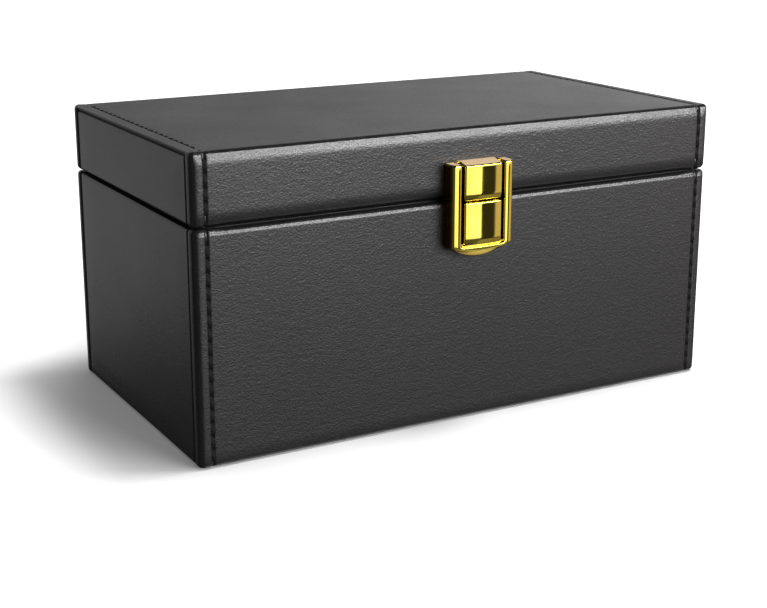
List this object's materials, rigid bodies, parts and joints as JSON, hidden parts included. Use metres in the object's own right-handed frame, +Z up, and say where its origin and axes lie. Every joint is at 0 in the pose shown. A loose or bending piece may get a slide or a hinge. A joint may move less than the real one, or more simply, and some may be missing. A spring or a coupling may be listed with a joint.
{
  "type": "faraday key box",
  "caption": "Rectangular leather-covered key box lined with conductive fabric, with a rear-hinged lid and a gold press-button latch on the front.",
  "frame": {"origin": "centre of the underside, on the plane that the box stands on", "axes": "+X to the right along the front, +Y from the front to the hinged back, +Z up"},
  "size_m": [0.2, 0.1245, 0.101],
  "materials": {
    "black_leather": "fine-grained synthetic leather, satin",
    "fibre_board": "raw wood-fibre board",
    "shielding_fabric": "woven conductive fabric, silver grey",
    "felt": "short black felt",
    "gold_plate": "polished gold plate on a zinc or brass casting",
    "steel": "plain zinc-plated steel"
  },
  "bodies": {
    "box_body": {"base_felt": "felt", "floor_board": "fibre_board", "front_board": "fibre_board", "back_board": "fibre_board", "left_board": "fibre_board", "right_board": "fibre_board", "front_cover": "black_leather", "back_cover": "black_leather", "left_cover": "black_leather", "right_cover": "black_leather", "floor_lining": "shielding_fabric", "front_lining": "shielding_fabric", "back_lining": "shielding_fabric", "left_lining": "shielding_fabric", "right_lining": "shielding_fabric", "body_rim_seal": "shielding_fabric", "latch_housing": "gold_plate", "latch_spring": "steel", "latch_screws": "steel", "hinge_lower_left": "gold_plate", "hinge_lower_right": "gold_plate", "hinge_pin_left": "gold_plate", "hinge_pin_right": "gold_plate", "hinge_lower_screws": "gold_plate"},
    "lid": {"lid_top_board": "fibre_board", "lid_front_board": "fibre_board", "lid_back_board": "fibre_board", "lid_left_board": "fibre_board", "lid_right_board": "fibre_board", "lid_wrap": "black_leather", "lid_left_cover": "black_leather", "lid_right_cover": "black_leather", "lid_top_lining": "shielding_fabric", "lid_front_lining": "shielding_fabric", "lid_back_lining": "shielding_fabric", "lid_left_lining": "shielding_fabric", "lid_right_lining": "shielding_fabric", "lid_rim_seal": "shielding_fabric", "latch_strike": "gold_plate", "strike_screws": "steel", "hinge_upper_left": "gold_plate", "hinge_upper_right": "gold_plate", "hinge_upper_screws": "gold_plate"},
    "latch_button": {"latch_button": "gold_plate"}
  },
  "joints": [
    {"name": "lid_hinge", "type": "hinge", "parent": "box_body", "child": "lid", "pos_m": [0, 0.0583, 0.0772], "axis": [-1, 0, 0], "range_deg": [0, 100]},
    {"name": "latch_press", "type": "slide", "parent": "box_body", "child": "latch_button", "axis": [0, 1, 0], "range_m": [0, 0.0015], "stiffness_N_per_m": 600, "springref_m": -0.002, "deforming": ["latch_spring"]}
  ]
}
